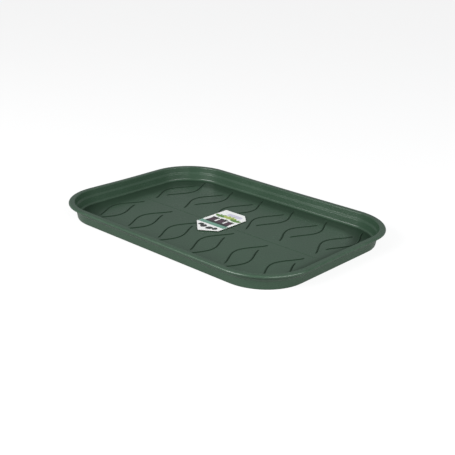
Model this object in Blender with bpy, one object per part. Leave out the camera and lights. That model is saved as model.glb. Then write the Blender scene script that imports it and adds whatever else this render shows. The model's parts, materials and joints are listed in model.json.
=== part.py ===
"""Grow tray saucer: a shallow moulded tray with a turned-down rim and leaf ribs on its floor.

Run it with: blender --background --python part.py
The tray is one thin moulding. A printed card with a pointed end lies on the ribs of its floor.
Units are metres. +X runs along the tray, +Y across it and +Z is up. The origin is on the
surface that the tray stands on, under the middle of the floor.
"""
import math

import bmesh
import bpy
from mathutils import Matrix, Vector

COLLECTION_NAME = "grow_tray_saucer"
RIB_COLLECTION_NAME = "raised_ribs"

# Overall size, over the lip that hangs from the rim
LENGTH = 0.510
WIDTH = 0.356
HEIGHT = 0.0285
CORNER_RADIUS = 0.0903

# Rim: a flat band with a short lip turned down at its outer edge
RIM_WIDTH = 0.0106
RIM_OUTER_ROUND = 0.0024
RIM_INNER_ROUND = 0.0020
LIP_DEPTH = 0.0038
LIP_THICKNESS = 0.0018
LIP_EDGE_ROUND = 0.0005

# Wall: an upper part, a sloped step all round it, and a lower part that leans in to the floor
WALL_THICKNESS = 0.0021
UPPER_WALL_DEPTH = 0.0100
UPPER_WALL_LEAN = 0.0015
STEP_WIDTH = 0.0023
STEP_FALL = 0.0031
STEP_ROUND = 0.0012
LOWER_WALL_LEAN = 0.0021
WALL_FOOT_ROUND = 0.0040
BASE_EDGE_ROUND = 0.0014

# Floor, and the flat foot band round its underside that the tray stands on
FLOOR_THICKNESS = 0.0019
UNDERSIDE_RECESS = 0.0013
FOOT_BAND_WIDTH = 0.0140
FLOOR_MARGIN = 0.0040

# Leaf ribs: two rows of leaves, each drawn by two bowed ribs that don't meet
LEAF_PITCH = 0.0744
LEAF_END_MARGIN = 0.0100
LEAF_AXIS_SHIFT = 0.0036
LEAF_OPENING = 0.0010
LEAF_LEFT_BOW = 0.0222
LEAF_RIGHT_BOW = 0.0208
LEAF_FULLNESS = 0.4
LEAF_CENTRE_GAP = 0.0130
LEAF_WALL_GAP = 0.0150
LEAF_RIB_SHIFT = 0.0255
RIB_WIDTH = 0.0034
RIB_HEIGHT = 0.0010
RIB_ROOT_DEPTH = 0.0008

# Low bead along the middle of the floor, between the two rows of leaves
BEAD_WIDTH = 0.0016
BEAD_HEIGHT = 0.0004

# Printed card that lies on the ribs, square at one end and pointed at the other
CARD_WIDTH = 0.0610
CARD_LENGTH = 0.1070
CARD_THICKNESS = 0.0005
CARD_CENTRE_X = -0.0130
CARD_CENTRE_Y = 0.0035
CARD_POINT_DEPTH = 0.0310
CARD_POINT_SHIFT = 0.0020
CARD_SHOULDER_DROP = 0.0100
CARD_CORNER_CUT = 0.0160
CARD_CLEARANCE = 0.0003

# How finely round stretches are divided, and the most of a side that a corner's arc may take
OUTLINE_CORNER_STEPS = 10
ROUND_STEP_DEGREES = 24.0
RIB_SPANS = 16
RIB_BEVEL_RESOLUTION = 2
STRAIGHT_ANGLE = 179.0
ARC_SHARE = 0.49
WELD_DISTANCE = 0.00001

# Linear colours and roughness of the two materials
TRAY_COLOUR = (0.034, 0.070, 0.042, 1.0)
TRAY_ROUGHNESS = 0.42
CARD_COLOUR = (0.80, 0.81, 0.79, 1.0)
CARD_ROUGHNESS = 0.35
SMOOTH_ANGLE = 35.0


def clear_scene():
    """Remove every object of the scene, and the collections and materials that are left."""
    for item in list(bpy.data.objects):
        bpy.data.objects.remove(item, do_unlink=True)
    for block in (bpy.data.collections, bpy.data.meshes, bpy.data.curves, bpy.data.materials):
        for item in list(block):
            block.remove(item)


def make_collection(name):
    """Make a collection under the scene."""
    collection = bpy.data.collections.new(name)
    bpy.context.scene.collection.children.link(collection)
    return collection


def make_material(name, colour, roughness):
    """Make a Principled BSDF material that isn't metal."""
    material = bpy.data.materials.new(name)
    material.use_nodes = True
    shader = material.node_tree.nodes["Principled BSDF"]
    shader.inputs["Base Color"].default_value = colour
    shader.inputs["Roughness"].default_value = roughness
    shader.inputs["Metallic"].default_value = 0.0
    return material


def corner_arc(before, here, after, radius):
    """Give the points of the arc that rounds the corner at here, limited by its two sides."""
    into = (before - here).normalized()
    out = (after - here).normalized()
    opening = into.angle(out)
    if radius <= 0.0 or opening > math.radians(STRAIGHT_ANGLE):
        return [here]
    reach = radius / math.tan(opening / 2.0)
    limit = ARC_SHARE * min((before - here).length, (after - here).length)
    if reach > limit:
        radius *= limit / reach
        reach = limit
    centre = here + (into + out).normalized() * radius / math.sin(opening / 2.0)
    start = here + into * reach - centre
    end = here + out * reach - centre
    turn = math.atan2(start.x * end.y - start.y * end.x, start.dot(end))
    steps = max(1, round(abs(math.degrees(turn)) / ROUND_STEP_DEGREES))
    return [centre + Matrix.Rotation(turn * step / steps, 2) @ start for step in range(steps + 1)]


def rounded_polyline(corners):
    """Turn corners, each a point and a radius, into points with an arc at each inner corner."""
    points = [corners[0][0]]
    for before, corner, after in zip(corners, corners[1:], corners[2:]):
        points.extend(corner_arc(before[0], corner[0], after[0], corner[1]))
    points.append(corners[-1][0])
    return points


def mitre(before, here, after, distance):
    """Give the corner of the line that runs beside before, here and after, to their left."""
    into = (here - before).normalized()
    out = (after - here).normalized()
    left = Vector((-into.y - out.y, into.x + out.x)).normalized()
    return here + left * distance / left.dot(Vector((-into.y, into.x)))


def rounded_rectangle(length, width, radius):
    """Give the points of a rounded rectangle about the origin, anticlockwise from above."""
    points = []
    for quarter, (side_x, side_y) in enumerate(((1, 1), (-1, 1), (-1, -1), (1, -1))):
        centre = Vector((side_x * (length / 2.0 - radius), side_y * (width / 2.0 - radius)))
        for step in range(OUTLINE_CORNER_STEPS + 1):
            turn = (quarter + step / OUTLINE_CORNER_STEPS) * math.pi / 2.0
            points.append(centre + Vector((math.cos(turn), math.sin(turn))) * radius)
    return points


def poly_curve(name, points, dimensions):
    """Make a curve object with one open POLY spline through points of the XY plane."""
    curve = bpy.data.curves.new(name, "CURVE")
    curve.dimensions = dimensions
    spline = curve.splines.new("POLY")
    spline.points.add(len(points) - 1)
    for target, point in zip(spline.points, points):
        target.co = (point.x, point.y, 0.0, 1.0)
    return bpy.data.objects.new(name, curve)


def mesh_from_curve(source, name, collection):
    """Make a welded mesh object of a curve object in a collection, and remove the curve."""
    collection.objects.link(source)
    bpy.context.view_layer.update()
    evaluated = source.evaluated_get(bpy.context.evaluated_depsgraph_get())
    mesh = bpy.data.meshes.new_from_object(evaluated)
    shape = bmesh.new()
    shape.from_mesh(mesh)
    bmesh.ops.remove_doubles(shape, verts=shape.verts, dist=WELD_DISTANCE)
    shape.to_mesh(mesh)
    shape.free()
    piece = bpy.data.objects.new(name, mesh)
    piece.matrix_world = source.matrix_world.copy()
    collection.objects.link(piece)
    bpy.data.objects.remove(source, do_unlink=True)
    return piece


def close_openings(mesh):
    """Fill the open edges of a mesh with flat faces, and point all its faces out."""
    shape = bmesh.new()
    shape.from_mesh(mesh)
    open_edges = [edge for edge in shape.edges if edge.is_boundary]
    bmesh.ops.holes_fill(shape, edges=open_edges, sides=0)
    bmesh.ops.recalc_face_normals(shape, faces=shape.faces)
    shape.to_mesh(mesh)
    shape.free()


def floor_top():
    """Give the height of the floor's upper face."""
    return UNDERSIDE_RECESS + FLOOR_THICKNESS


def wall_foot():
    """Give the distance from the tray's outer edge in to where the wall meets the floor."""
    return RIM_WIDTH + UPPER_WALL_LEAN + STEP_WIDTH + LOWER_WALL_LEAN


def wall_profile():
    """Give the tray's cross-section from the floor, over the rim and back under the floor.

    A point is (distance in from the outer edge, height).
    """
    foot = Vector((wall_foot(), floor_top()))
    step_low = Vector((foot.x - LOWER_WALL_LEAN, HEIGHT - UPPER_WALL_DEPTH - STEP_FALL))
    step_high = step_low + Vector((-STEP_WIDTH, STEP_FALL))
    rim_inner = Vector((RIM_WIDTH, HEIGHT))
    rim_outer = Vector((0.0, HEIGHT))
    under_low = mitre(foot, step_low, step_high, WALL_THICKNESS)
    under_high = mitre(step_low, step_high, rim_inner, WALL_THICKNESS)
    under_rim = mitre(step_high, rim_inner, rim_outer, WALL_THICKNESS)
    slope = (step_low - foot).normalized()
    base = under_low - slope * under_low.y / slope.y
    foot_inner = base.x + FOOT_BAND_WIDTH
    recess_edge = foot_inner + UNDERSIDE_RECESS
    floor_edge = recess_edge + FLOOR_MARGIN
    lip_low = HEIGHT - LIP_DEPTH
    return rounded_polyline([
        (Vector((floor_edge, floor_top())), 0.0),
        (foot, WALL_FOOT_ROUND),
        (step_low, STEP_ROUND),
        (step_high, STEP_ROUND),
        (rim_inner, RIM_INNER_ROUND),
        (rim_outer, RIM_OUTER_ROUND),
        (Vector((0.0, lip_low)), LIP_EDGE_ROUND),
        (Vector((LIP_THICKNESS, lip_low)), LIP_EDGE_ROUND),
        (Vector((LIP_THICKNESS, under_rim.y)), LIP_EDGE_ROUND),
        (under_rim, LIP_EDGE_ROUND),
        (under_high, STEP_ROUND),
        (under_low, STEP_ROUND),
        (base, BASE_EDGE_ROUND),
        (Vector((foot_inner, 0.0)), 0.0),
        (Vector((recess_edge, UNDERSIDE_RECESS)), 0.0),
        (Vector((floor_edge, UNDERSIDE_RECESS)), 0.0),
    ])


def make_shell(parts):
    """Sweep the cross-section round the tray's outline, and close it over and under the floor."""
    profile = poly_curve("wall_section", wall_profile(), "2D")
    outline = rounded_rectangle(LENGTH, WIDTH, CORNER_RADIUS)
    path = poly_curve("tray_outline", outline, "2D")
    path.data.splines[0].use_cyclic_u = True
    path.data.fill_mode = "NONE"
    path.data.bevel_mode = "OBJECT"
    path.data.bevel_object = profile
    parts.objects.link(profile)
    shell = mesh_from_curve(path, "tray", parts)
    bpy.data.objects.remove(profile, do_unlink=True)
    close_openings(shell.data)
    return shell


def make_rib(name, points, width, height, ribs):
    """Make a low rib of half-round section along points, with its root sunk in the floor."""
    path = poly_curve(f"{name}_path", points, "3D")
    path.data.bevel_depth = width / 2.0
    path.data.bevel_resolution = RIB_BEVEL_RESOLUTION
    path.data.use_fill_caps = True
    rib = mesh_from_curve(path, name, ribs)
    squash = Matrix.Diagonal((1.0, 1.0, (height + RIB_ROOT_DEPTH) / width, 1.0))
    middle = floor_top() + (height - RIB_ROOT_DEPTH) / 2.0
    rib.data.transform(Matrix.Translation((0.0, 0.0, middle)) @ squash)
    rib.hide_render = True
    rib.display_type = "WIRE"
    return rib


def bowed_line(start, end, bow):
    """Give points from start to end that swell sideways by bow, more fully than a plain wave."""
    points = []
    for step in range(RIB_SPANS + 1):
        share = step / RIB_SPANS
        arch = math.sin(math.pi * share)
        swell = bow * (LEAF_FULLNESS * arch + (1.0 - LEAF_FULLNESS) * arch * arch)
        points.append(start.lerp(end, share) + Vector((swell, 0.0)))
    return points


def leaf_columns():
    """Give the middle of each column of leaves along the tray."""
    bow_reach = LEAF_LEFT_BOW + LEAF_AXIS_SHIFT + (LEAF_OPENING + RIB_WIDTH) / 2.0
    room = LENGTH - 2.0 * (wall_foot() + LEAF_END_MARGIN + bow_reach)
    count = max(1, int(room / LEAF_PITCH) + 1)
    return [(column - (count - 1) / 2.0) * LEAF_PITCH for column in range(count)]


def make_leaf_ribs(ribs):
    """Make the two ribs of each leaf, in a row on each side of the middle of the floor."""
    row_width = WIDTH / 2.0 - wall_foot() - LEAF_CENTRE_GAP - LEAF_WALL_GAP
    rib_length = row_width - LEAF_RIB_SHIFT
    for column, middle in enumerate(leaf_columns()):
        for row, side in (("near", -1.0), ("far", 1.0)):
            for half, bow, shift in (
                ("left", -LEAF_LEFT_BOW, 0.0),
                ("right", LEAF_RIGHT_BOW, LEAF_RIB_SHIFT),
            ):
                x = middle + LEAF_AXIS_SHIFT + math.copysign(LEAF_OPENING / 2.0, bow)
                inner = LEAF_CENTRE_GAP + shift
                start = Vector((x, side * inner))
                end = Vector((x, side * (inner + rib_length)))
                line = bowed_line(start, end, bow)
                make_rib(f"rib_{row}_{column}_{half}", line, RIB_WIDTH, RIB_HEIGHT, ribs)


def make_middle_bead(ribs):
    """Make the low bead that runs between the two rows of leaves."""
    reach = leaf_columns()[-1] + LEAF_LEFT_BOW
    ends = [Vector((-reach, 0.0)), Vector((reach, 0.0))]
    make_rib("middle_bead", ends, BEAD_WIDTH, BEAD_HEIGHT, ribs)


def make_tray(parts, ribs):
    """Make the tray: its shell, with the leaf ribs and the bead joined to the floor."""
    shell = make_shell(parts)
    make_leaf_ribs(ribs)
    make_middle_bead(ribs)
    join = shell.modifiers.new("join_ribs", "BOOLEAN")
    join.operation = "UNION"
    join.operand_type = "COLLECTION"
    join.collection = ribs
    join.solver = "EXACT"
    shell.data.materials.append(make_material("tray_plastic", TRAY_COLOUR, TRAY_ROUGHNESS))
    shell.data.shade_smooth()
    shell.data.set_sharp_from_angle(angle=math.radians(SMOOTH_ANGLE))


def card_outline():
    """Give the card's corners: square at the top with one corner cut, pointed at the bottom."""
    right = CARD_WIDTH / 2.0
    top = CARD_LENGTH / 2.0
    point_base = CARD_POINT_DEPTH - top
    return [
        Vector((-right, top)),
        Vector((-right, point_base)),
        Vector((CARD_POINT_SHIFT, -top)),
        Vector((right, point_base - CARD_SHOULDER_DROP)),
        Vector((right, top - CARD_CORNER_CUT)),
        Vector((right - CARD_CORNER_CUT, top)),
    ]


def make_card(parts):
    """Make the printed card, just clear of the ribs that it lies on."""
    outline = poly_curve("card_outline", card_outline(), "2D")
    outline.data.splines[0].use_cyclic_u = True
    outline.data.fill_mode = "BOTH"
    outline.data.extrude = CARD_THICKNESS / 2.0
    underside = floor_top() + RIB_HEIGHT + CARD_CLEARANCE
    outline.location = (CARD_CENTRE_X, CARD_CENTRE_Y, underside + CARD_THICKNESS / 2.0)
    card = mesh_from_curve(outline, "label_card", parts)
    card.data.materials.append(make_material("card_print", CARD_COLOUR, CARD_ROUGHNESS))


def main():
    """Build the tray and its card."""
    clear_scene()
    parts = make_collection(COLLECTION_NAME)
    ribs = make_collection(RIB_COLLECTION_NAME)
    make_tray(parts, ribs)
    make_card(parts)


main()
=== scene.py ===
"""Grow tray saucer: the dressed model of a shallow moulded tray with a printed card on its floor.

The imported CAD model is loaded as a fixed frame. A finer tray and a finer card stand for its two
nodes, each with a procedural finish. Units are metres: +X runs along the tray, +Y across it and
+Z is up, from the surface that the tray stands on.
"""

import json
import logging
import math
from dataclasses import dataclass
from enum import Enum
from typing import Iterable, Sequence

import bpy
from mathutils import Matrix, Vector
from mathutils.geometry import delaunay_2d_cdt

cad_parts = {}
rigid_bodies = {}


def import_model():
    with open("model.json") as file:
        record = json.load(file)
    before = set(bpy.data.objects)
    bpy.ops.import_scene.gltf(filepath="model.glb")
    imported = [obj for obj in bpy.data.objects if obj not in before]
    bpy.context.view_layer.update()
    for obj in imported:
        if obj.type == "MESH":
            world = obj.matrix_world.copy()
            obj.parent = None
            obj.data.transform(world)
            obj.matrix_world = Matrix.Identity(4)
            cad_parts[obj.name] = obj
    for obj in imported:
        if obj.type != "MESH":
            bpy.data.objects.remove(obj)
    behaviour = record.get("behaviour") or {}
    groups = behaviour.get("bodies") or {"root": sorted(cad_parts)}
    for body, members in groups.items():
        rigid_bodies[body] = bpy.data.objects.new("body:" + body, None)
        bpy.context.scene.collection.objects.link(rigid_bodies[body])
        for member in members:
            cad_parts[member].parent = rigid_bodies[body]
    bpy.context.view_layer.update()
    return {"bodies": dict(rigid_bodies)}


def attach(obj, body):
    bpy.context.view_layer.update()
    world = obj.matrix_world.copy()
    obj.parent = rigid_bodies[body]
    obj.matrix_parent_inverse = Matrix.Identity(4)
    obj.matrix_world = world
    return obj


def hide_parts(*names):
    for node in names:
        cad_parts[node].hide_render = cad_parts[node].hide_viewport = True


LOG = logging.getLogger("grow_tray_saucer")
Colour = tuple[float, float, float, float]
Shader = bpy.types.Node
Socket = bpy.types.NodeSocket
Inputs = dict[int | str, object]
Loop = list[int]
SMOOTH_ANGLE = math.radians(40.0)
INSIDE_ONLY = 1
MERGE_DISTANCE = 1e-7


class Slot(Enum):
    """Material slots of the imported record."""

    TRAY = "tray_plastic"
    CARD = "card_print"


class Row(Enum):
    """The two rows of leaves, by the side of the middle line that they lie on."""

    NEAR = -1.0
    FAR = 1.0


class Half(Enum):
    """The two ribs that draw one leaf, by the side that they swell to."""

    LEFT = -1.0
    RIGHT = 1.0


class Mark(Enum):
    """Point attributes that tell a finish where its surface is rubbed or sheltered, and where it gets
    painted shade or a painted highlight.
    """

    EDGE = "rubbed_edge"
    HOLLOW = "sheltered_hollow"
    # Painted shade on the ribs' sides.
    LINE = "shaded_line"
    # Painted highlight on the ribs' sides that face away from the painted shade.
    CREST = "rubbed_crest"


def smooth_share(share: float) -> float:
    """Ease a share of the way so that it starts and ends level."""
    held = min(1.0, max(0.0, share))
    return held * held * (3.0 - 2.0 * held)


def runs_left(points: Sequence[Vector]) -> bool:
    """Tell whether a loop of points runs anticlockwise, seen from above."""
    sides = zip(points, [*points[1:], points[0]])
    return sum(here.x * after.y - after.x * here.y for here, after in sides) > 0.0


def flat_way(turn: float) -> Vector:
    """Give the flat unit vector at an angle from +X."""
    return Vector((math.cos(turn), math.sin(turn)))


def way_to(azimuth: float, elevation: float) -> Vector:
    """Give the way to a stand, from its degrees round from -Y towards +X and its degrees up."""
    around, up = math.radians(azimuth), math.radians(elevation)
    return Vector((math.sin(around) * math.cos(up), -math.cos(around) * math.cos(up), math.sin(up)))


def add_object(name: str, data: bpy.types.ID) -> bpy.types.Object:
    """Make an object and link it to the scene.

    Args:
        name: Its name.
        data: Its mesh, lamp or camera data.

    Returns:
        The object.
    """
    made = bpy.data.objects.new(name, data)
    bpy.context.scene.collection.objects.link(made)
    return made


@dataclass
class Bend:
    """One corner or point of a cross-section, with its two marks.

    Its place is the distance in from the tray's outer edge, and the height. The reach share is
    the most of a side that the arc of a rounded corner may take.
    """

    place: Vector
    radius: float = 0.0
    reach_share: float = 0.49
    edge: float = 0.0
    hollow: float = 0.0


class MeshPlan:
    """Vertices, faces and marks of one piece, gathered before its mesh is made."""

    def __init__(self) -> None:
        """Start with nothing."""
        self.points: list[Vector] = []
        self.faces: list[tuple[int, ...]] = []
        self.marks: dict[Mark, list[float]] = {mark: [] for mark in Mark}

    def add_point(self, point: Vector, marks: dict[Mark, float] | None = None) -> int:
        """Add a vertex.

        Args:
            point: Its place.
            marks: How strong each mark is there, where it has any.

        Returns:
            The vertex's number.
        """
        self.points.append(point)
        for mark, values in self.marks.items():
            values.append((marks or {}).get(mark, 0.0))
        return len(self.points) - 1

    def bridge(self, first: Loop, second: Loop) -> None:
        """Join two closed loops with quads. Seen from outside, the first is left of the second."""
        sides = zip(first, first[1:] + first[:1], second[1:] + second[:1], second)
        self.faces.extend(sides)

    def fill_flat(self, border: Loop, islands: Sequence[Loop], faces_up: bool) -> None:
        """Fill a flat loop with triangles, and leave islands in it open.

        Args:
            border: The loop round the flat face.
            islands: Loops inside it that stay open.
            faces_up: Whether the face looks up, or else down.
        """
        loops = [self.anticlockwise(loop) for loop in (border, *islands)]
        used = [vertex for loop in loops for vertex in loop]
        spots = {vertex: spot for spot, vertex in enumerate(used)}
        result = delaunay_2d_cdt(
            [self.points[vertex].xy for vertex in used],
            [],
            [[spots[vertex] for vertex in loop] for loop in loops],
            INSIDE_ONLY,
            MERGE_DISTANCE,
        )
        triangles, origins, sources = result[2], result[3], result[5]
        for triangle, source in zip(triangles, sources):
            if source != [0]:
                continue
            corners = tuple(used[origins[corner][0]] for corner in triangle)
            self.faces.append(corners if faces_up else corners[::-1])

    def anticlockwise(self, loop: Loop) -> Loop:
        """Give a loop in its anticlockwise turn, seen from above."""
        return loop if runs_left([self.points[vertex] for vertex in loop]) else loop[::-1]

    def make(self, name: str) -> bpy.types.Object:
        """Make the piece, smooth except at its sharp edges.

        Args:
            name: The piece's name.

        Returns:
            The mesh object, linked to the scene.
        """
        mesh = bpy.data.meshes.new(name)
        mesh.from_pydata([tuple(point) for point in self.points], [], self.faces)
        for mark, values in self.marks.items():
            attribute = mesh.attributes.new(mark.value, "FLOAT", "POINT")
            attribute.data.foreach_set("value", values)
        mesh.validate()
        mesh.update()
        mesh.shade_smooth()
        mesh.set_sharp_from_angle(angle=SMOOTH_ANGLE)
        return add_object(name, mesh)


class NodeSheet:
    """A node tree with short calls for the nodes that the finishes are made of."""

    NODE_SPACING = 220.0
    NODES_IN_A_ROW = 12

    def __init__(self, tree: bpy.types.NodeTree) -> None:
        """Take a tree to add nodes to."""
        self.tree = tree

    def node(self, kind: str, inputs: Inputs | None = None, **settings: object) -> bpy.types.Node:
        """Add a node.

        Args:
            kind: The node's type name.
            inputs: A value or a socket for each input, by its name or number.
            **settings: The node's own settings.

        Returns:
            The node.
        """
        made = self.tree.nodes.new(kind)
        line, column = divmod(len(self.tree.nodes), self.NODES_IN_A_ROW)
        made.location = (column * self.NODE_SPACING, -line * self.NODE_SPACING)
        for name, value in settings.items():
            setattr(made, name, value)
        for name, value in (inputs or {}).items():
            self.feed(made.inputs[name], value)
        return made

    def feed(self, socket: Socket, value: object) -> None:
        """Link a socket to an input, or set the input's value.

        Args:
            socket: The input.
            value: The value, or the socket that gives it.
        """
        if isinstance(value, bpy.types.NodeSocket):
            self.tree.links.new(value, socket)
        else:
            socket.default_value = value

    def maths(self, operation: str, first: object, second: object = 0.0, clamp: bool = False) -> Socket:
        """Add a Math node with two values or sockets, and give its result."""
        made = self.node("ShaderNodeMath", {0: first, 1: second}, operation=operation, use_clamp=clamp)
        return made.outputs[0]

    def spread(
        self, value: Socket, low: float, high: float, start: float = 0.0, end: float = 1.0
    ) -> Socket:
        """Ease a value from one range, low to high, to another, start to end."""
        inputs = {"Value": value, "From Min": low, "From Max": high, "To Min": start, "To Max": end}
        return self.node("ShaderNodeMapRange", inputs, interpolation_type="SMOOTHSTEP").outputs[0]

    def blend(self, mask: Socket, first: object, second: object) -> Socket:
        """Mix two colours or sockets by a mask, which is 0 for the first and 1 for the second."""
        # Inputs 6 and 7 and output 2 of a Mix node are colours, inputs 2 and 3 and output 0 numbers.
        return self.node("ShaderNodeMix", {0: mask, 6: first, 7: second}, data_type="RGBA").outputs[2]

    def mark(self, mark: Mark) -> Socket:
        """Read one of the piece's marks."""
        return self.node("ShaderNodeAttribute", attribute_name=mark.value).outputs["Fac"]

    def axes(self, vector: Socket) -> bpy.types.NodeOutputs:
        """Give the three parts of a vector."""
        return self.node("ShaderNodeSeparateXYZ", {"Vector": vector}).outputs

    def facing_up(self) -> Socket:
        """Tell how far a face looks up, where 1 is a level face."""
        return self.axes(self.node("ShaderNodeNewGeometry").outputs["Normal"])["Z"]

    def panel(self, vector: Socket, sizes: dict[str, object]) -> Socket:
        """Measure how far a point is from the edge of a panel with round corners.

        Args:
            vector: The point.
            sizes: A value or a socket for each input of the panel mask.

        Returns:
            The mask, 1 on the panel and 0 off it.
        """
        axes = self.axes(vector)
        overs = []
        for axis, half in (("x", "half_width"), ("y", "half_height")):
            away = self.maths("ABSOLUTE", self.maths("SUBTRACT", axes[axis.upper()], sizes[axis]))
            room = self.maths("SUBTRACT", sizes[half], sizes["round"])
            overs.append(self.maths("SUBTRACT", away, room))
        squares = [self.maths("POWER", self.maths("MAXIMUM", over, 0.0), 2.0) for over in overs]
        far = self.maths("SQRT", self.maths("ADD", *squares))
        near = self.maths("MINIMUM", self.maths("MAXIMUM", *overs), 0.0)
        past_edge = self.maths("SUBTRACT", self.maths("ADD", far, near), sizes["round"])
        return self.spread(self.maths("DIVIDE", past_edge, sizes["softness"]), low=1.0, high=-1.0)


class EffectGroup(NodeSheet):
    """A shader node group with one output, built once and placed wherever it is needed.

    Its inputs, besides the vector, have the values that hold where nothing is fed to them.
    """

    name = ""
    inputs: dict[str, float] = {}
    output = "mask"

    def __init__(self, tree: bpy.types.NodeTree) -> None:
        """Take the group's tree, and give it its inputs' node."""
        super().__init__(tree)
        self.entry = self.node("NodeGroupInput").outputs

    def __getitem__(self, name: str) -> Socket:
        """Give one of the group's inputs."""
        return self.entry[name]

    @classmethod
    def group_tree(cls) -> bpy.types.NodeTree:
        """Give the group's tree, and build it the first time.

        Returns:
            The tree.
        """
        found = bpy.data.node_groups.get(cls.name)
        if found:
            return found
        made = bpy.data.node_groups.new(cls.name, "ShaderNodeTree")
        ports = made.interface
        ports.new_socket(name="vector", in_out="INPUT", socket_type="NodeSocketVector")
        for name, value in cls.inputs.items():
            socket = ports.new_socket(name=name, in_out="INPUT", socket_type="NodeSocketFloat")
            socket.default_value = value
        ports.new_socket(name=cls.output, in_out="OUTPUT", socket_type="NodeSocketFloat")
        group = cls(made)
        group.node("NodeGroupOutput", {cls.output: group.wire()})
        return made

    def wire(self) -> Socket:
        """Wire the group's inside, and give what it puts out."""
        raise NotImplementedError

    def noise(self, scale: object, detail: float, roughness: float) -> Socket:
        """Give noise from 0 to 1 that is read at the group's vector."""
        inputs = {"Vector": self["vector"], "Scale": scale, "Detail": detail, "Roughness": roughness}
        return self.node("ShaderNodeTexNoise", inputs).outputs[0]

    @classmethod
    def place(cls, sheet: NodeSheet, vector: Socket, **values: object) -> Socket:
        """Place the group in a sheet, with a value or a socket for each input, and give its output."""
        made = sheet.node("ShaderNodeGroup", {"vector": vector, **values}, node_tree=cls.group_tree())
        return made.outputs[cls.output]


class SurfaceGrain(EffectGroup):
    """Fine grain over long low ripples, as the height of a surface."""

    name = "surface_grain"
    inputs = {"grain_scale": 2600.0, "grain_height": 6e-6, "ripple_scale": 16.0, "ripple_height": 1e-4}
    output = "height"

    def wire(self) -> Socket:
        """Add the two noises, each at its own height.

        Returns:
            The height.
        """
        grain = self.noise(self["grain_scale"], detail=3.0, roughness=0.6)
        ripple = self.noise(self["ripple_scale"], detail=1.0, roughness=0.3)
        grain_height = self.maths("MULTIPLY", grain, self["grain_height"])
        ripple_height = self.maths("MULTIPLY", ripple, self["ripple_height"])
        return self.maths("ADD", grain_height, ripple_height)


class UnevenTint(EffectGroup):
    """Broad clouds with fine specks in them, for a colour that isn't quite even."""

    name = "uneven_tint"
    inputs = {"cloud_scale": 14.0, "speck_scale": 900.0, "speck_share": 0.35}

    def wire(self) -> Socket:
        """Mix the clouds with the specks.

        Returns:
            The mask.
        """
        clouds = self.noise(self["cloud_scale"], detail=3.0, roughness=0.55)
        specks = self.noise(self["speck_scale"], detail=2.0, roughness=0.6)
        broad = self.spread(clouds, low=0.28, high=0.72)
        fine = self.spread(specks, low=0.3, high=0.7)
        inputs = {0: self["speck_share"], 2: broad, 3: fine}
        return self.node("ShaderNodeMix", inputs, data_type="FLOAT").outputs[0]


class EdgeWear(EffectGroup):
    """Broken bright wear on rubbed edges."""

    name = "edge_wear"
    inputs = {"edge": 0.0, "amount": 0.4}

    def wire(self) -> Socket:
        """Break the edge mark up with two sizes of noise.

        Returns:
            The mask.
        """
        patches = self.noise(scale=45.0, detail=3.0, roughness=0.6)
        chips = self.noise(scale=700.0, detail=2.0, roughness=0.6)
        patchy = self.spread(patches, low=0.35, high=0.7)
        broken = self.maths("MULTIPLY", patchy, self.spread(chips, low=0.4, high=0.62))
        rubbed = self.maths("MULTIPLY", self.spread(self["edge"], low=0.15, high=0.95), broken)
        return self.maths("MULTIPLY", rubbed, self["amount"], clamp=True)


class SettledDust(EffectGroup):
    """Thin dust on faces that look up, thicker in sheltered hollows."""

    name = "settled_dust"
    inputs = {"hollow": 0.0, "open_amount": 0.02, "hollow_amount": 0.2}

    def wire(self) -> Socket:
        """Weigh the open and the sheltered dust by how far a face looks up.

        Returns:
            The mask.
        """
        drifts = self.noise(scale=60.0, detail=4.0, roughness=0.65)
        specks = self.noise(scale=1500.0, detail=1.0, roughness=0.5)
        open_dust = self.maths("MULTIPLY", self.spread(specks, low=0.52, high=0.7), self["open_amount"])
        drifted = self.maths("MULTIPLY", self["hollow"], self.spread(drifts, low=0.3, high=0.75))
        hollow_dust = self.maths("MULTIPLY", drifted, self["hollow_amount"])
        level = self.spread(self.facing_up(), low=0.35, high=0.95)
        return self.maths("MULTIPLY", self.maths("ADD", open_dust, hollow_dust), level, clamp=True)


class PanelMask(EffectGroup):
    """A panel with round corners."""

    name = "panel_mask"
    inputs = {"x": 0.0, "y": 0.0, "half_width": 5.0, "half_height": 5.0, "round": 0.5, "softness": 0.06}

    def wire(self) -> Socket:
        """Give the mask of a panel whose sizes are the group's inputs."""
        return self.panel(self["vector"], {name: self[name] for name in self.inputs})


class LeafMask(EffectGroup):
    """A printed leaf or seed, pointed at both ends."""

    name = "leaf_mask"
    inputs = {"x": 0.0, "y": 0.0, "length": 10.0, "width": 4.0, "turn": 0.0}

    def wire(self) -> Socket:
        """Compare a point's distance from the midrib with the leaf's width there.

        Returns:
            The mask.
        """
        axes = self.axes(self["vector"])
        x = self.maths("SUBTRACT", axes["X"], self["x"])
        y = self.maths("SUBTRACT", axes["Y"], self["y"])
        turn = self.maths("RADIANS", self["turn"])
        cosine, sine = self.maths("COSINE", turn), self.maths("SINE", turn)
        along = self.maths("ADD", self.maths("MULTIPLY", x, cosine), self.maths("MULTIPLY", y, sine))
        aside = self.maths("MULTIPLY", x, sine)
        across = self.maths("SUBTRACT", self.maths("MULTIPLY", y, cosine), aside)
        share = self.maths("DIVIDE", along, self["length"])
        swell = self.maths("MULTIPLY", share, self.maths("SUBTRACT", 1.0, share))
        reach = self.maths("MULTIPLY", self.maths("MULTIPLY", swell, 2.0), self["width"])
        inside = self.maths("SUBTRACT", reach, self.maths("ABSOLUTE", across))
        return self.spread(inside, low=-0.06, high=0.06)


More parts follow.
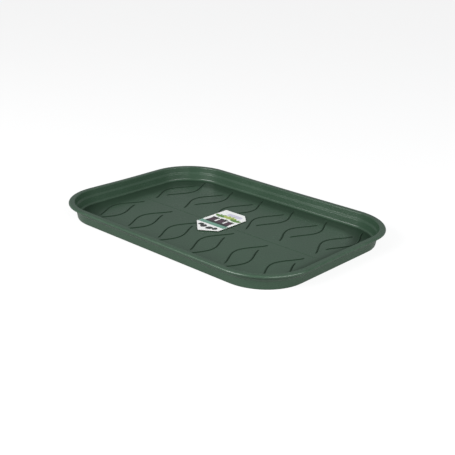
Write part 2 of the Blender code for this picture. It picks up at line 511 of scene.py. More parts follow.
class MaterialSheet(NodeSheet):
    """The node sheet of a new material with one Principled BSDF."""

    def __init__(self, name: str) -> None:
        """Make the material.

        Args:
            name: The material's name.
        """
        self.material = bpy.data.materials.new(name)
        self.material.use_nodes = True
        super().__init__(self.material.node_tree)
        self.shader = self.tree.nodes["Principled BSDF"]

    def dress(self, name: str, value: object) -> None:
        """Set or link one of the shader's inputs."""
        self.feed(self.shader.inputs[name], value)

    def bump(self, height: Socket) -> Socket:
        """Give the normal of a surface with a relief of some height."""
        inputs = {"Strength": 1.0, "Distance": 1.0, "Height": height}
        return self.node("ShaderNodeBump", inputs).outputs["Normal"]

    def point(self, space: str) -> Socket:
        """Give a point's coordinates in a space, such as the object's own."""
        return self.node("ShaderNodeTexCoord").outputs[space]


@dataclass(frozen=True)
class MouldedPlastic:
    """Satin moulded plastic, a little uneven in colour, with light wear and dust, painted shade and
    painted highlights on its ribs, and painted shade along the walls' foot.
    """

    colour_deep: Colour = (0.031, 0.065, 0.039, 1.0)
    colour_pale: Colour = (0.037, 0.076, 0.046, 1.0)
    # Painted shade on the ribs' sides and on the floor along the walls, and a painted highlight on the
    # ribs' other sides.
    line_colour: Colour = (0.010, 0.024, 0.013, 1.0)
    crest_colour: Colour = (0.058, 0.104, 0.071, 1.0)
    worn_colour: Colour = (0.10, 0.15, 0.11, 1.0)
    dust_colour: Colour = (0.30, 0.31, 0.28, 1.0)
    roughness_low: float = 0.22
    roughness_high: float = 0.30
    line_roughness: float = 0.25
    specular_level: float = 0.48
    line_specular_level: float = 0.10
    grain_height: float = 0.000004
    ripple_height: float = 0.00012
    wear_amount: float = 0.35
    # Outside this panel, the level floor along the walls gets painted shade.
    open_floor_length: float = 0.412
    open_floor_width: float = 0.258
    open_floor_round: float = 0.060
    open_floor_softness: float = 0.009
    floor_level: float = 0.0032
    shelter_shade: float = 0.55
    dust_open: float = 0.03
    dust_hollow: float = 0.03

    def material(self) -> bpy.types.Material:
        """Make the finish's material.

        Returns:
            The material.
        """
        sheet = MaterialSheet("satin_green_plastic")
        place = sheet.point("Object")
        tint = UnevenTint.place(sheet, place)
        wear = EdgeWear.place(sheet, place, edge=sheet.mark(Mark.EDGE), amount=self.wear_amount)
        dust = SettledDust.place(
            sheet,
            place,
            hollow=sheet.mark(Mark.HOLLOW),
            open_amount=self.dust_open,
            hollow_amount=self.dust_hollow,
        )
        height = SurfaceGrain.place(
            sheet, place, grain_height=self.grain_height, ripple_height=self.ripple_height
        )
        # Painted shade: the floor along the walls and the ribs' sides get a darker, less shiny green.
        shade = sheet.maths("MULTIPLY", self.sheltered(sheet, place), self.shelter_shade)
        line = sheet.maths("MAXIMUM", sheet.mark(Mark.LINE), shade)
        colour = sheet.blend(tint, self.colour_deep, self.colour_pale)
        # Layers: the painted shade, the painted highlight on the ribs' paler sides, then wear and dust.
        layers = (
            (line, self.line_colour),
            (sheet.mark(Mark.CREST), self.crest_colour),
            (wear, self.worn_colour),
            (dust, self.dust_colour),
        )
        for mask, layer_colour in layers:
            colour = sheet.blend(mask, colour, layer_colour)
        roughness = sheet.spread(tint, 0.0, 1.0, self.roughness_low, self.roughness_high)
        matt = sheet.maths("ADD", dust, sheet.maths("MULTIPLY", line, self.line_roughness))
        shine = sheet.spread(line, 0.0, 1.0, self.specular_level, self.line_specular_level)
        sheet.dress("Base Color", colour)
        sheet.dress("Roughness", sheet.maths("ADD", roughness, matt, clamp=True))
        sheet.dress("Specular IOR Level", shine)
        sheet.dress("Normal", sheet.bump(height))
        return sheet.material

    def sheltered(self, sheet: MaterialSheet, place: Socket) -> Socket:
        """Find the band of the level floor that the walls round it shelter, where shade is painted.

        Args:
            sheet: The material's node sheet.
            place: Where on the tray it is looked for.

        Returns:
            The mask.
        """
        above = sheet.maths("SUBTRACT", sheet.axes(place)["Z"], self.floor_level)
        low = sheet.spread(above, low=0.0006, high=0.0001)
        level = sheet.maths("MULTIPLY", sheet.spread(sheet.facing_up(), low=0.96, high=0.995), low)
        open_floor = {
            "x": 0.0,
            "y": 0.0,
            "half_width": self.open_floor_length / 2.0,
            "half_height": self.open_floor_width / 2.0,
            "round": self.open_floor_round,
            "softness": self.open_floor_softness,
        }
        outside = sheet.maths("SUBTRACT", 1.0, sheet.panel(place, open_floor))
        return sheet.maths("MULTIPLY", level, outside)


@dataclass(frozen=True)
class RibForm:
    """The cross-section of a low rib, and how strongly its sides get painted shade and a painted
    highlight.
    """

    width: float
    height: float
    shade: float


@dataclass
class TrayMoulding:
    """The tray: a rim with a turned-down lip, a stepped wall and a floor with raised ribs."""

    length: float = 0.510
    width: float = 0.356
    height: float = 0.0285
    corner_radius: float = 0.0903
    rim_width: float = 0.0106
    rim_outer_round: float = 0.0030
    rim_inner_round: float = 0.0020
    lip_depth: float = 0.0038
    lip_thickness: float = 0.0018
    lip_edge_round: float = 0.0005
    wall_thickness: float = 0.0021
    upper_wall_depth: float = 0.0100
    upper_wall_lean: float = 0.0015
    step_width: float = 0.0023
    step_fall: float = 0.0031
    step_round: float = 0.0012
    lower_wall_lean: float = 0.0021
    wall_foot_round: float = 0.0040
    base_edge_round: float = 0.0014
    floor_thickness: float = 0.0019
    underside_recess: float = 0.0013
    foot_band_width: float = 0.0140
    floor_margin: float = 0.0040
    dust_reach: float = 0.0080
    side_bow: float = 0.0008
    rim_sag: float = 0.0003
    leaf_pitch: float = 0.0744
    leaf_columns: int = 6
    leaf_axis_shift: float = 0.0036
    leaf_opening: float = 0.0010
    leaf_bow_left: float = 0.0222
    leaf_bow_right: float = 0.0208
    leaf_fullness: float = 0.4
    leaf_centre_gap: float = 0.0130
    leaf_wall_gap: float = 0.0150
    leaf_rib_shift: float = 0.0255
    rib: RibForm = RibForm(0.0034, 0.0010, 1.0)
    bead: RibForm = RibForm(0.0022, 0.0004, 0.3)
    rib_taper: float = 0.0040
    gate_width: float = 0.0090
    gate_depth: float = 0.0004
    pin_width: float = 0.0080
    pin_depth: float = 0.00015
    corner_steps: int = 24
    long_side_steps: int = 18
    short_side_steps: int = 10
    arc_step_degrees: float = 8.0
    rib_spans: int = 44
    rib_strips: int = 10
    disc_steps: int = 28

    STRAIGHT_ANGLE = math.radians(179.0)
    LEAST_ARC_STEPS = 3
    LEAST_HOLLOW = 0.3
    # The way that the ribs' painted shade faces, and how painted shade and painted highlight lean
    # across a rib.
    SHADED_WAY = Vector((0.67, -0.74))
    LINE_LEVEL, LINE_FALL, LINE_LEAN = 0.95, 0.4, 1.4
    CREST_LEVEL, CREST_LEAN = 0.4, 1.2
    DISC_PROFILE = ((1.0, 0.0), (0.94, 1.0), (0.35, 1.0), (0.26, 0.35))
    PIN_SHARES_X = (-0.34, 0.0, 0.34)
    PIN_SHARES_Y = (-0.27, 0.27)
    FLAT_FACE_WEIGHT = 100

    def floor_top(self) -> float:
        """Give the height of the floor's upper face."""
        return self.underside_recess + self.floor_thickness

    def wall_foot(self) -> float:
        """Give the distance from the tray's outer edge in to where the wall meets the floor."""
        return self.rim_width + self.upper_wall_lean + self.step_width + self.lower_wall_lean

    @staticmethod
    def beside(before: Vector, here: Vector, after: Vector, distance: float) -> Vector:
        """Give a corner of the line that runs beside another.

        Args:
            before: The point before the corner.
            here: The corner.
            after: The point after it.
            distance: How far to the left the new line runs.

        Returns:
            The new line's corner.
        """
        into = (here - before).normalized()
        out = (after - here).normalized()
        left = Vector((-into.y - out.y, into.x + out.x)).normalized()
        return here + left * distance / left.dot(Vector((-into.y, into.x)))

    def bends(self) -> list[Bend]:
        """Give the section's corners, from the floor over the rim and back under the floor.

        Returns:
            The corners.
        """
        foot = Vector((self.wall_foot(), self.floor_top()))
        step_level = self.height - self.upper_wall_depth - self.step_fall
        step_low = Vector((foot.x - self.lower_wall_lean, step_level))
        step_high = step_low + Vector((-self.step_width, self.step_fall))
        rim_inner = Vector((self.rim_width, self.height))
        rim_outer = Vector((0.0, self.height))
        under_low = self.beside(foot, step_low, step_high, self.wall_thickness)
        under_high = self.beside(step_low, step_high, rim_inner, self.wall_thickness)
        under_rim = self.beside(step_high, rim_inner, rim_outer, self.wall_thickness)
        slope = (step_low - foot).normalized()
        base = under_low - slope * under_low.y / slope.y
        foot_inner = base.x + self.foot_band_width
        recess_edge = foot_inner + self.underside_recess
        floor_edge = recess_edge + self.floor_margin
        lip_low = self.height - self.lip_depth
        return [
            Bend(foot + Vector((self.dust_reach, 0.0))),
            Bend(foot, self.wall_foot_round, hollow=1.0),
            Bend(step_low, self.step_round, hollow=0.35),
            Bend(step_high, self.step_round, edge=0.7),
            Bend(rim_inner, self.rim_inner_round, edge=0.8),
            Bend(rim_outer, self.rim_outer_round, reach_share=0.85, edge=1.0),
            Bend(Vector((0.0, lip_low)), self.lip_edge_round, edge=1.0),
            Bend(Vector((self.lip_thickness, lip_low)), self.lip_edge_round),
            Bend(Vector((self.lip_thickness, under_rim.y)), self.lip_edge_round, hollow=0.6),
            Bend(under_rim, self.lip_edge_round, hollow=0.6),
            Bend(under_high, self.step_round),
            Bend(under_low, self.step_round),
            Bend(base, self.base_edge_round, edge=0.8),
            Bend(Vector((foot_inner, 0.0)), edge=0.4),
            Bend(Vector((recess_edge, self.underside_recess))),
            Bend(Vector((floor_edge, self.underside_recess))),
        ]

    def rounded(self, before: Bend, here: Bend, after: Bend) -> list[Bend]:
        """Round one corner of the section.

        Args:
            before: The corner before it.
            here: The corner.
            after: The corner after it.

        Returns:
            The points of its arc.
        """
        into = (before.place - here.place).normalized()
        out = (after.place - here.place).normalized()
        opening = into.angle(out)
        if here.radius <= 0.0 or opening > self.STRAIGHT_ANGLE:
            return [here]
        reach = here.radius / math.tan(opening / 2.0)
        sides = ((other.place - here.place).length for other in (before, after))
        limit = here.reach_share * min(sides)
        radius = here.radius * min(1.0, limit / reach)
        reach = min(reach, limit)
        centre = here.place + (into + out).normalized() * radius / math.sin(opening / 2.0)
        start = here.place + into * reach - centre
        end = here.place + out * reach - centre
        turn = math.atan2(start.x * end.y - start.y * end.x, start.dot(end))
        steps = max(self.LEAST_ARC_STEPS, round(abs(math.degrees(turn)) / self.arc_step_degrees))
        points = []
        for step in range(steps + 1):
            place = centre + Matrix.Rotation(turn * step / steps, 2) @ start
            weight = math.sin(math.pi * step / steps)
            hollow = here.hollow * (self.LEAST_HOLLOW + (1.0 - self.LEAST_HOLLOW) * weight)
            points.append(Bend(place, edge=here.edge * weight, hollow=hollow))
        return points

    def section(self) -> list[Bend]:
        """Give the whole section with its corners rounded.

        Returns:
            The section's points, in the same order.
        """
        bends = self.bends()
        points = [bends[0]]
        for corner in zip(bends, bends[1:], bends[2:]):
            points.extend(self.rounded(*corner))
        return [*points, bends[-1]]

    def outline(self) -> list[tuple[Vector, Vector, float]]:
        """Walk once round the tray, anticlockwise from above.

        Returns:
            For each stop its point on the outer edge, the way out, and how far it gives when
            the moulding cools: 1 in the middle of a side and 0 in a corner.
        """
        stops = []
        half_length = self.length / 2.0 - self.corner_radius
        half_width = self.width / 2.0 - self.corner_radius
        quarters = ((1, 1), (-1, 1), (-1, -1), (1, -1))
        for quarter, (side_x, side_y) in enumerate(quarters):
            centre = Vector((side_x * half_length, side_y * half_width))
            for step in range(self.corner_steps):
                out = flat_way((quarter + step / self.corner_steps) * math.pi / 2.0)
                stops.append((centre + out * self.corner_radius, out, 0.0))
            out = flat_way((quarter + 1) * math.pi / 2.0)
            next_x, next_y = quarters[(quarter + 1) % 4]
            start = centre + out * self.corner_radius
            end = Vector((next_x * half_length, next_y * half_width)) + out * self.corner_radius
            steps = self.long_side_steps if quarter % 2 == 0 else self.short_side_steps
            for step in range(steps):
                share = step / steps
                give = (1.0 - (2.0 * share - 1.0) ** 2) ** 2
                stops.append((start.lerp(end, share), out, give))
        return stops

    def sweep(self, plan: MeshPlan) -> tuple[Loop, Loop]:
        """Sweep the section round the tray.

        Args:
            plan: The piece's mesh plan.

        Returns:
            The open loops round the floor's upper face and round its underside.
        """
        floor = self.floor_top()
        rings = []
        for point in self.section():
            inset, height = point.place
            lift = smooth_share((height - floor) / (self.height - floor))
            marks = {Mark.EDGE: point.edge, Mark.HOLLOW: point.hollow}
            ring = []
            for edge, out, give in self.outline():
                shift = inset + self.side_bow * give * lift
                level = height - self.rim_sag * give * lift
                ring.append(plan.add_point(Vector((*(edge - out * shift), level)), marks))
            rings.append(ring)
        for ring, after in zip(rings, rings[1:]):
            plan.bridge(after, ring)
        return rings[0], rings[-1]

    def side_marks(self, form: RibForm, side: Vector, across: float) -> dict[Mark, float]:
        """Tell how the side of a rib gets painted shade and a painted highlight, darker towards the
        shaded way and paler behind.

        The shaded way is fixed in the tray's frame, and has the bearing of the photo's camera.

        Args:
            form: The rib's form.
            side: The way to the rib's left.
            across: How far the place is to the left of the rib's middle, from -1 to 1.

        Returns:
            The marks of the place.
        """
        turned = side.dot(self.SHADED_WAY)
        lean = self.LINE_LEAN * turned * across
        line = smooth_share(self.LINE_LEVEL - self.LINE_FALL * abs(turned) + lean)
        crest = abs(turned) * smooth_share(self.CREST_LEVEL - self.CREST_LEAN * turned * across)
        return {Mark.LINE: form.shade * line, Mark.CREST: form.shade * crest}

    def add_rib(self, plan: MeshPlan, line: Sequence[Vector], form: RibForm) -> Loop:
        """Add a low rib that runs out into the floor on all sides.

        Args:
            plan: The piece's mesh plan.
            line: Evenly spread points along the rib's middle.
            form: The rib's form.

        Returns:
            The loop round its root, anticlockwise.
        """
        top, strips = self.floor_top(), self.rib_strips
        span = (line[1] - line[0]).length
        rows = []
        for spot, here in enumerate(line[1:-1], 1):
            along = (line[spot + 1] - line[spot - 1]).normalized()
            side = Vector((-along.y, along.x))
            share = min(1.0, span * min(spot, len(line) - 1 - spot) / self.rib_taper)
            half_width = form.width / 2.0 * math.sqrt(share * (2.0 - share))
            row = []
            for strip in range(strips + 1):
                across = math.sin(math.pi * (strip / strips - 0.5))
                swell = 0.5 + 0.5 * math.cos(math.pi * across)
                level = top + form.height * smooth_share(share) * swell
                # Inner strips get painted shade towards the shaded way and a painted highlight behind
                # it.
                marks = self.side_marks(form, side, across) if 0 < strip < strips else None
                row.append(plan.add_point(Vector((*(here + side * across * half_width), level)), marks))
            rows.append(row)
        start = plan.add_point(Vector((*line[0], top)))
        end = plan.add_point(Vector((*line[-1], top)))
        for row, after in zip(rows, rows[1:]):
            for strip in range(strips):
                plan.faces.append((row[strip], after[strip], after[strip + 1], row[strip + 1]))
        for strip in range(strips):
            plan.faces.append((start, rows[0][strip], rows[0][strip + 1]))
            plan.faces.append((end, rows[-1][strip + 1], rows[-1][strip]))
        return [start, *(row[0] for row in rows), end, *(row[-1] for row in reversed(rows))]

    def bowed_line(self, start: Vector, end: Vector, bow: float) -> list[Vector]:
        """Give points along a line that swells sideways, more fully than a plain wave.

        Args:
            start: Its first point.
            end: Its last point.
            bow: How far it swells, towards +X.

        Returns:
            The points.
        """
        points = []
        for step in range(self.rib_spans + 1):
            share = step / self.rib_spans
            arch = math.sin(math.pi * share)
            swell = bow * (self.leaf_fullness * arch + (1.0 - self.leaf_fullness) * arch * arch)
            points.append(start.lerp(end, share) + Vector((swell, 0.0)))
        return points

    def add_ribs(self, plan: MeshPlan) -> list[Loop]:
        """Add all the ribs of the floor.

        Args:
            plan: The piece's mesh plan.

        Returns:
            The loop round each rib's root.
        """
        roots = []
        row_width = self.width / 2.0 - self.wall_foot() - self.leaf_centre_gap - self.leaf_wall_gap
        rib_length = row_width - self.leaf_rib_shift
        reach = (self.leaf_columns - 1) / 2.0 * self.leaf_pitch
        for column in range(self.leaf_columns):
            axis = column * self.leaf_pitch - reach + self.leaf_axis_shift
            for row in Row:
                for half in Half:
                    x = axis + half.value * self.leaf_opening / 2.0
                    shift = self.leaf_rib_shift if half is Half.RIGHT else 0.0
                    inner = self.leaf_centre_gap + shift
                    start = Vector((x, row.value * inner))
                    end = Vector((x, row.value * (inner + rib_length)))
                    bow = self.leaf_bow_right if half is Half.RIGHT else -self.leaf_bow_left
                    roots.append(self.add_rib(plan, self.bowed_line(start, end, bow), self.rib))
        bead_end = Vector((reach + self.leaf_bow_left, 0.0))
        roots.append(self.add_rib(plan, self.bowed_line(-bead_end, bead_end, 0.0), self.bead))
        return roots

    def add_disc(self, plan: MeshPlan, middle: Vector, width: float, depth: float) -> Loop:
        """Add a shallow round mark in the underside of the floor.

        Args:
            plan: The piece's mesh plan.
            middle: Where its middle is.
            width: How wide it is.
            depth: How far it goes up into the floor.

        Returns:
            The loop round it.
        """
        rings = []
        for share, rise in self.DISC_PROFILE:
            ring = []
            for step in range(self.disc_steps):
                way = flat_way(2.0 * math.pi * step / self.disc_steps)
                place = middle + way * width / 2.0 * share
                ring.append(plan.add_point(Vector((*place, self.underside_recess + depth * rise))))
            rings.append(ring)
        for ring, after in zip(rings, rings[1:]):
            plan.bridge(after, ring)
        plan.faces.append(tuple(reversed(rings[-1])))
        return rings[0]

    def add_underside_marks(self, plan: MeshPlan) -> list[Loop]:
        """Add the moulding's gate mark and the round marks of the pins that push it out.

        Args:
            plan: The piece's mesh plan.

        Returns:
            The loop round each mark.
        """
        marks = [self.add_disc(plan, Vector((0.0, 0.0)), self.gate_width, self.gate_depth)]
        for share_x in self.PIN_SHARES_X:
            for share_y in self.PIN_SHARES_Y:
                middle = Vector((share_x * self.length, share_y * self.width))
                marks.append(self.add_disc(plan, middle, self.pin_width, self.pin_depth))
        return marks

    def build(self) -> bpy.types.Object:
        """Build the tray's mesh.

        Returns:
            The piece.
        """
        plan = MeshPlan()
        upper, under = self.sweep(plan)
        plan.fill_flat(upper, self.add_ribs(plan), faces_up=True)
        plan.fill_flat(under, self.add_underside_marks(plan), faces_up=False)
        piece = plan.make("tray_moulding")
        normals = piece.modifiers.new("flat_floor_normals", "WEIGHTED_NORMAL")
        normals.keep_sharp = True
        normals.weight = self.FLAT_FACE_WEIGHT
        return piece

    def dress(self, piece: bpy.types.Object, finish: MouldedPlastic) -> None:
        """Give the tray its finish, and let it stand for its CAD node.

        Args:
            piece: The built tray.
            finish: Its finish.
        """
        piece.data.materials.append(finish.material())
        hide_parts("tray")


class Ink(Enum):
    """The inks of the card's print."""

    DARK = (0.016, 0.020, 0.018, 1.0)
    TEAL = (0.150, 0.330, 0.245, 1.0)
    POT = (0.055, 0.022, 0.040, 1.0)
    LEAF = (0.120, 0.260, 0.050, 1.0)
    LIME = (0.400, 0.500, 0.110, 1.0)
    LILAC = (0.640, 0.620, 0.740, 1.0)


@dataclass(frozen=True)
class PrintedShape:
    """A printed shape, in millimetres from the card's middle along its width and its length."""

    ink: Ink
    x: float
    y: float

    group = EffectGroup

    def mask(self, sheet: NodeSheet, place: Socket) -> Socket:
        """Give the shape's mask in a material, read at a place on the card."""
        sizes = {name: value for name, value in vars(self).items() if name != "ink"}
        return self.group.place(sheet, place, **sizes)


@dataclass(frozen=True)
class PrintedPanel(PrintedShape):
    """A flat printed panel about its middle, with round corners."""

    half_width: float
    half_height: float
    round: float = 0.4

    group = PanelMask


@dataclass(frozen=True)
class PrintedLeaf(PrintedShape):
    """A printed leaf or seed from its foot on, turned by some degrees from the card's width."""

    length: float
    width: float
    turn: float

    group = LeafMask


@dataclass(frozen=True)
class Seedling:
    """A printed pot with a seedling in it, about the pot's middle, 13 mm high at a size of 1.

    The sizes of its parts are half widths, half heights and corner rounds, and those of a leaf
    its length, width and turn.
    """

    x: float
    y: float
    size: float
    leaf_ink: Ink

    POT = (5.6, 6.5, 1.4)
    SOIL = (6.6, 1.7, 0.6)
    STEM = (0.7, 5.0)
    STEM_MIDDLE = 4.0
    STEM_TOP = 6.5
    LEAVES = ((13.0, 6.5, 30.0), (13.0, 6.5, 150.0), (12.0, 5.0, 68.0), (11.0, 5.0, 112.0))

    def shapes(self) -> list[PrintedShape]:
        """Give the printed shapes of the pot and its seedling.

        Returns:
            The shapes, the lowest layer first.
        """
        size = self.size
        pot_sizes = [part * size for part in self.POT]
        top = self.y + pot_sizes[1]
        middle, foot = top + self.STEM_MIDDLE * size, top + self.STEM_TOP * size
        stem = PrintedPanel(self.leaf_ink, self.x, middle, *(part * size for part in self.STEM))
        pot = PrintedPanel(Ink.POT, self.x, self.y, *pot_sizes)
        soil = PrintedPanel(Ink.DARK, self.x, top, *(part * size for part in self.SOIL))
        leaves = [
            PrintedLeaf(self.leaf_ink, self.x, foot, length * size, width * size, turn)
            for length, width, turn in self.LEAVES
        ]
        return [stem, pot, soil, *leaves]


@dataclass(frozen=True)
class CoatedCard:
    """Gloss-coated card, printed with a plain design of potted seedlings and seeds.

    The print's sizes are in millimetres, and those of the relief in metres.
    """

    paper: Colour = (0.94, 0.95, 0.93, 1.0)
    paper_shade: Colour = (0.90, 0.91, 0.89, 1.0)
    bare_board: Colour = (0.62, 0.61, 0.57, 1.0)
    roughness_low: float = 0.26
    roughness_high: float = 0.36
    board_roughness_low: float = 0.60
    board_roughness_high: float = 0.75
    coat_weight: float = 0.3
    coat_roughness: float = 0.15
    grain_height: float = 0.000003
    ripple_scale: float = 30.0
    ripple_height: float = 0.00002
    length: float = 107.0
    middle_x: float = 30.5
    middle_y: float = 53.5
    ground: tuple[PrintedPanel, ...] = (
        PrintedPanel(Ink.TEAL, 0.0, -13.5, 31.0, 6.0, 0.1),
        PrintedPanel(Ink.LILAC, 3.0, 39.0, 16.0, 5.5, 3.0),
        PrintedPanel(Ink.DARK, 1.0, -5.0, 25.0, 4.2, 1.0),
    )
    seedlings: tuple[Seedling, ...] = (
        Seedling(-16.5, 5.0, 1.2, Ink.LEAF),
        Seedling(1.5, 5.5, 1.3, Ink.LIME),
        Seedling(18.5, 4.5, 1.1, Ink.LEAF),
    )
    seeds: tuple[PrintedLeaf, ...] = (
        PrintedLeaf(Ink.DARK, -17.0, -34.0, 12.5, 10.0, 62.0),
        PrintedLeaf(Ink.DARK, -4.0, -39.5, 15.0, 12.0, 96.0),
        PrintedLeaf(Ink.DARK, 6.0, -40.0, 15.0, 12.0, 66.0),
        PrintedLeaf(Ink.DARK, 20.0, -36.0, 13.0, 10.0, 100.0),
    )

    def printed(self) -> bpy.types.Material:
        """Make the printed side's material.

        Returns:
            The material.
        """
        sheet = MaterialSheet("printed_card")
        scale, shift = (self.length, self.length, 0.0), (-self.middle_x, -self.middle_y, 0.0)
        scaling = {0: sheet.point("UV"), 1: scale, 2: shift}
        place = sheet.node("ShaderNodeVectorMath", scaling, operation="MULTIPLY_ADD").outputs["Vector"]
        tint = UnevenTint.place(sheet, place, cloud_scale=0.05, speck_scale=2.0)
        colour = sheet.blend(tint, self.paper, self.paper_shade)
        plants = [shape for plant in self.seedlings for shape in plant.shapes()]
        for shape in (*self.ground, *plants, *self.seeds):
            colour = sheet.blend(shape.mask(sheet, place), colour, shape.ink.value)
        sheet.dress("Base Color", colour)
        sheet.dress("Roughness", sheet.spread(tint, 0.0, 1.0, self.roughness_low, self.roughness_high))
        sheet.dress("Coat Weight", self.coat_weight)
        sheet.dress("Coat Roughness", self.coat_roughness)
        sheet.dress("Normal", self.relief(sheet))
        return sheet.material

    def bare(self) -> bpy.types.Material:
        """Make the material of the card's back and cut edges.

        Returns:
            The material.
        """
        sheet = MaterialSheet("bare_card")
        tint = UnevenTint.place(sheet, sheet.point("Object"), cloud_scale=60.0, speck_scale=2400.0)
        roughness = sheet.spread(tint, 0.0, 1.0, self.board_roughness_low, self.board_roughness_high)
        sheet.dress("Base Color", sheet.blend(tint, self.bare_board, self.paper_shade))
        sheet.dress("Roughness", roughness)
        sheet.dress("Normal", self.relief(sheet))
        return sheet.material

    def relief(self, sheet: MaterialSheet) -> Socket:
        """Give the normal of the card's fine fibre grain and slight cockle.

        Args:
            sheet: The material's node sheet.

        Returns:
            The normal.
        """
        height = SurfaceGrain.place(
            sheet,
            sheet.point("Object"),
            grain_height=self.grain_height,
            ripple_scale=self.ripple_scale,
            ripple_height=self.ripple_height,
        )
        return sheet.bump(height)


@dataclass
class LabelCard:
    """The printed card: square at one end with a cut corner, and pointed at the other."""

    width: float = 0.0610
    length: float = 0.1070
    thickness: float = 0.0005
    centre_x: float = -0.0130
    centre_y: float = 0.0035
    underside: float = 0.0045
    point_depth: float = 0.0310
    point_shift: float = 0.0020
    shoulder_drop: float = 0.0100
    corner_cut: float = 0.0160
    corner_round: float = 0.0016
    corner_steps: int = 5
    grid_step: float = 0.0050
    curl: float = 0.0005

    LOOKS_UP = 0.5

    def corners(self) -> list[Vector]:
        """Give the card's corners about its middle.

        Returns:
            The corners, anticlockwise from above.
        """
        right = self.width / 2.0
        top = self.length / 2.0
        point_base = self.point_depth - top
        return [
            Vector((-right, top)),
            Vector((-right, point_base)),
            Vector((self.point_shift, -top)),
            Vector((right, point_base - self.shoulder_drop)),
            Vector((right, top - self.corner_cut)),
            Vector((right - self.corner_cut, top)),
        ]

    def outline(self) -> list[Vector]:
        """Give the outline with its corners rounded.

        Returns:
            The points, anticlockwise from above.
        """
        corners = self.corners()
        points = []
        for spot, here in enumerate(corners):
            into = (corners[spot - 1] - here).normalized()
            out = (corners[(spot + 1) % len(corners)] - here).normalized()
            half = into.angle(out) / 2.0
            reach = self.corner_round / math.tan(half)
            start, end = here + into * reach, here + out * reach
            centre = here + (into + out).normalized() * self.corner_round / math.sin(half)
            for step in range(self.corner_steps + 1):
                share = step / self.corner_steps
                way = (start - centre).lerp(end - centre, share).normalized()
                points.append(centre + way * self.corner_round)
        return points

    def level(self, place: Vector) -> float:
        """Give the height of the card's underside, which curls up a little to both ends."""
        return self.underside + self.curl * (2.0 * place.y / self.length) ** 2

    def build(self) -> bpy.types.Object:
        """Build the card's mesh.

        Returns:
            The piece.
        """
        outline = self.outline()
        columns, lines = int(self.width / self.grid_step), int(self.length / self.grid_step)
        inner = [
            Vector((self.width * (column / columns - 0.5), self.length * (line / lines - 0.5)))
            for column in range(columns + 1)
            for line in range(lines + 1)
        ]
        border = list(range(len(outline)))
        result = delaunay_2d_cdt([*outline, *inner], [], [border], INSIDE_ONLY, MERGE_DISTANCE)
        places, triangles, origins = result[0], result[2], result[3]
        plan = MeshPlan()
        middle = Vector((self.centre_x, self.centre_y))
        used = sorted({corner for triangle in triangles for corner in triangle})
        upper, lower = {}, {}
        for number in used:
            place, base = places[number] + middle, self.level(places[number])
            upper[number] = plan.add_point(Vector((*place, base + self.thickness)))
            lower[number] = plan.add_point(Vector((*place, base)))
        plan.faces.extend(tuple(upper[corner] for corner in triangle) for triangle in triangles)
        plan.faces.extend(tuple(lower[corner] for corner in triangle[::-1]) for triangle in triangles)
        by_origin = {source: number for number in used for source in origins[number]}
        rim = [by_origin[number] for number in border]
        plan.bridge([lower[number] for number in rim], [upper[number] for number in rim])
        piece = plan.make("card_sheet")
        self.lay_out_print(piece.data)
        return piece

    def lay_out_print(self, mesh: bpy.types.Mesh) -> None:
        """Lay the print over the card, and keep it to the side that looks up.

        Args:
            mesh: The card's mesh.
        """
        corner = Vector((self.centre_x - self.width / 2.0, self.centre_y - self.length / 2.0))
        layer = mesh.uv_layers.new(name="card_lengths")
        for loop in mesh.loops:
            place = mesh.vertices[loop.vertex_index].co.xy
            layer.data[loop.index].uv = (place - corner) / self.length
        for polygon in mesh.polygons:
            polygon.material_index = 0 if polygon.normal.z > self.LOOKS_UP else 1

    def dress(self, piece: bpy.types.Object, finish: CoatedCard) -> None:
        """Give the card its print, and let it stand for its CAD node.

        Args:
            piece: The built card.
            finish: Its finish.
        """
        piece.data.materials.append(finish.printed())
        piece.data.materials.append(finish.bare())
        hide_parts("label_card")


@dataclass(frozen=True)
class Softbox:
    """A soft rectangular lamp.

    The azimuth is in degrees from -Y towards +X, the elevation in degrees up from the floor. The
    share is how bright it makes a white face that looks straight at it.
    """

    name: str
    azimuth: float
    elevation: float
    distance: float
    width: float
    height: float
    share: float

    def build(self) -> None:
        """Make the lamp and turn it to the tray."""
        data = bpy.data.lights.new(self.name, "AREA")
        data.shape = "RECTANGLE"
        data.size = self.width
        data.size_y = self.height
        data.energy = self.share * (math.pi * self.distance) ** 2
        way = way_to(self.azimuth, self.elevation)
        lamp = add_object(self.name, data)
        lamp.location = way * self.distance
        lamp.rotation_euler = way.to_track_quat("Z", "Y").to_euler()


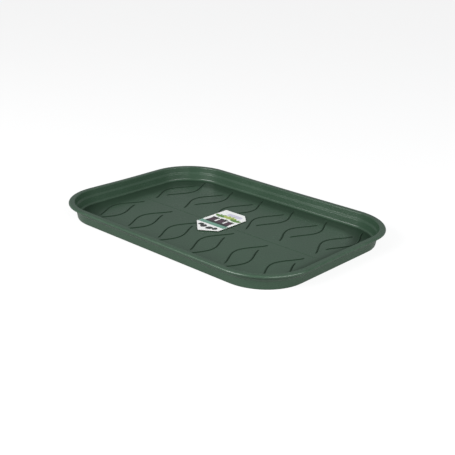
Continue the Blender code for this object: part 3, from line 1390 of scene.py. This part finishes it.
@dataclass(frozen=True)
class Studio:
    """A pale floor, a dim room round it and soft lamps."""

    floor_reach: float = 12.0
    floor_colour: Colour = (0.50, 0.50, 0.50, 1.0)
    seen_colour: Colour = (0.20, 0.20, 0.20, 1.0)
    seen_glow: float = 0.84
    room_colour: Colour = (0.27, 0.275, 0.285, 1.0)
    white: Colour = (1.0, 1.0, 1.0, 1.0)
    floor_mirror_share: float = 0.12
    room_mirror_share: float = 0.03
    lamps: tuple[Softbox, ...] = (
        Softbox("left_softbox", -14.0, 28.0, 2.2, 1.5, 1.0, 1.02),
        Softbox("right_softbox", 82.0, 28.0, 2.2, 2.5, 0.8, 0.85),
    )

    def show(self, sheet: NodeSheet, lit: Shader, seen: Shader, mirror_share: float) -> Socket:
        """Show the background in one way, and light the tray with it in another.

        Args:
            sheet: The node sheet of the floor or the world.
            lit: The shader for the rays that light the tray.
            seen: The shader for the rays that see the background.
            mirror_share: How much of the second shader a mirrored ray sees.

        Returns:
            The mixed shader.
        """
        path = sheet.node("ShaderNodeLightPath").outputs
        direct = sheet.maths("MAXIMUM", path["Is Camera Ray"], path["Is Transmission Ray"])
        mirrored = sheet.maths("MULTIPLY", path["Is Glossy Ray"], mirror_share)
        inputs = {0: sheet.maths("MAXIMUM", direct, mirrored), 1: lit.outputs[0], 2: seen.outputs[0]}
        return sheet.node("ShaderNodeMixShader", inputs).outputs[0]

    def build_floor(self) -> None:
        """Make the floor, which looks white and keeps a faint shadow."""
        mesh = bpy.data.meshes.new("studio_floor")
        turns = ((-1.0, -1.0), (1.0, -1.0), (1.0, 1.0), (-1.0, 1.0))
        corners = [(x * self.floor_reach, y * self.floor_reach, 0.0) for x, y in turns]
        mesh.from_pydata(corners, [], [(0, 1, 2, 3)])
        floor = add_object("studio_floor", mesh)
        material = bpy.data.materials.new("white_floor")
        material.use_nodes = True
        material.node_tree.nodes.clear()
        sheet = NodeSheet(material.node_tree)
        paper = sheet.node("ShaderNodeBsdfDiffuse", {"Color": self.floor_colour})
        seen = sheet.node("ShaderNodeBsdfDiffuse", {"Color": self.seen_colour})
        glow = sheet.node("ShaderNodeEmission", {"Strength": self.seen_glow})
        both = sheet.node("ShaderNodeAddShader", {0: seen.outputs[0], 1: glow.outputs[0]})
        surface = self.show(sheet, paper, both, self.floor_mirror_share)
        sheet.node("ShaderNodeOutputMaterial", {"Surface": surface})
        mesh.materials.append(material)

    def build_world(self) -> None:
        """Make the room: white to the camera, and dim to what it lights."""
        world = bpy.data.worlds.new("studio_room")
        bpy.context.scene.world = world
        world.use_nodes = True
        world.node_tree.nodes.clear()
        sheet = NodeSheet(world.node_tree)
        room = sheet.node("ShaderNodeBackground", {"Color": self.room_colour, "Strength": 1.0})
        white = sheet.node("ShaderNodeBackground", {"Color": self.white, "Strength": 1.0})
        surface = self.show(sheet, room, white, self.room_mirror_share)
        sheet.node("ShaderNodeOutputWorld", {"Surface": surface})

    def build(self) -> None:
        """Make the floor, the room and the lamps."""
        self.build_floor()
        self.build_world()
        for lamp in self.lamps:
            lamp.build()


@dataclass(frozen=True)
class PhotoCamera:
    """The camera at the photograph's viewing angle.

    Its angles are in degrees, from -Y towards +X, up from the floor and about its own axis. The
    distance is to the plane through the tray's middle, and the aim is how far to the right of the
    middle and above it the camera's axis passes.
    """

    image_width: float = 455.0
    focal_pixels: float = 836.5866
    azimuth: float = 41.9416
    elevation: float = 20.9679
    roll: float = -1.6649
    distance: float = 1.444371
    aim_right: float = 0.008772
    aim_up: float = -0.000816

    SENSOR_WIDTH = 36.0

    def build(self) -> None:
        """Make the camera and use it for the scene."""
        back = way_to(self.azimuth, self.elevation)
        right = Vector((*flat_way(math.radians(self.azimuth)), 0.0))
        up = back.cross(right)
        turn = math.radians(self.roll)
        rolled_right = right * math.cos(turn) - up * math.sin(turn)
        rolled_up = right * math.sin(turn) + up * math.cos(turn)
        data = bpy.data.cameras.new("photo_camera")
        data.sensor_width = self.SENSOR_WIDTH
        data.lens = self.focal_pixels * self.SENSOR_WIDTH / self.image_width
        camera = add_object("photo_camera", data)
        location = right * self.aim_right + up * self.aim_up + back * self.distance
        axes = Matrix((rolled_right, rolled_up, back)).transposed().to_4x4()
        camera.matrix_world = Matrix.Translation(location) @ axes
        bpy.context.scene.camera = camera


def clear_start_scene() -> None:
    """Remove the objects that a new Blender scene starts with."""
    for item in list(bpy.context.scene.objects):
        bpy.data.objects.remove(item, do_unlink=True)


def main() -> None:
    """Load the frame, build and dress both pieces, and set up the studio and the camera."""
    logging.basicConfig(level=logging.INFO, format="%(name)s: %(message)s")
    clear_start_scene()
    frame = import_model()
    body = next(iter(frame["bodies"]))
    assemblies = ((TrayMoulding(), MouldedPlastic()), (LabelCard(), CoatedCard()))
    for assembly, finish in assemblies:
        piece = assembly.build()
        assembly.dress(piece, finish)
        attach(piece, body)
        mesh = piece.data
        LOG.info("%s: %d vertices, %d faces", piece.name, len(mesh.vertices), len(mesh.polygons))
    Studio().build()
    PhotoCamera().build()
    bpy.context.scene.view_settings.view_transform = "Standard"


if __name__ == "__main__":
    main()
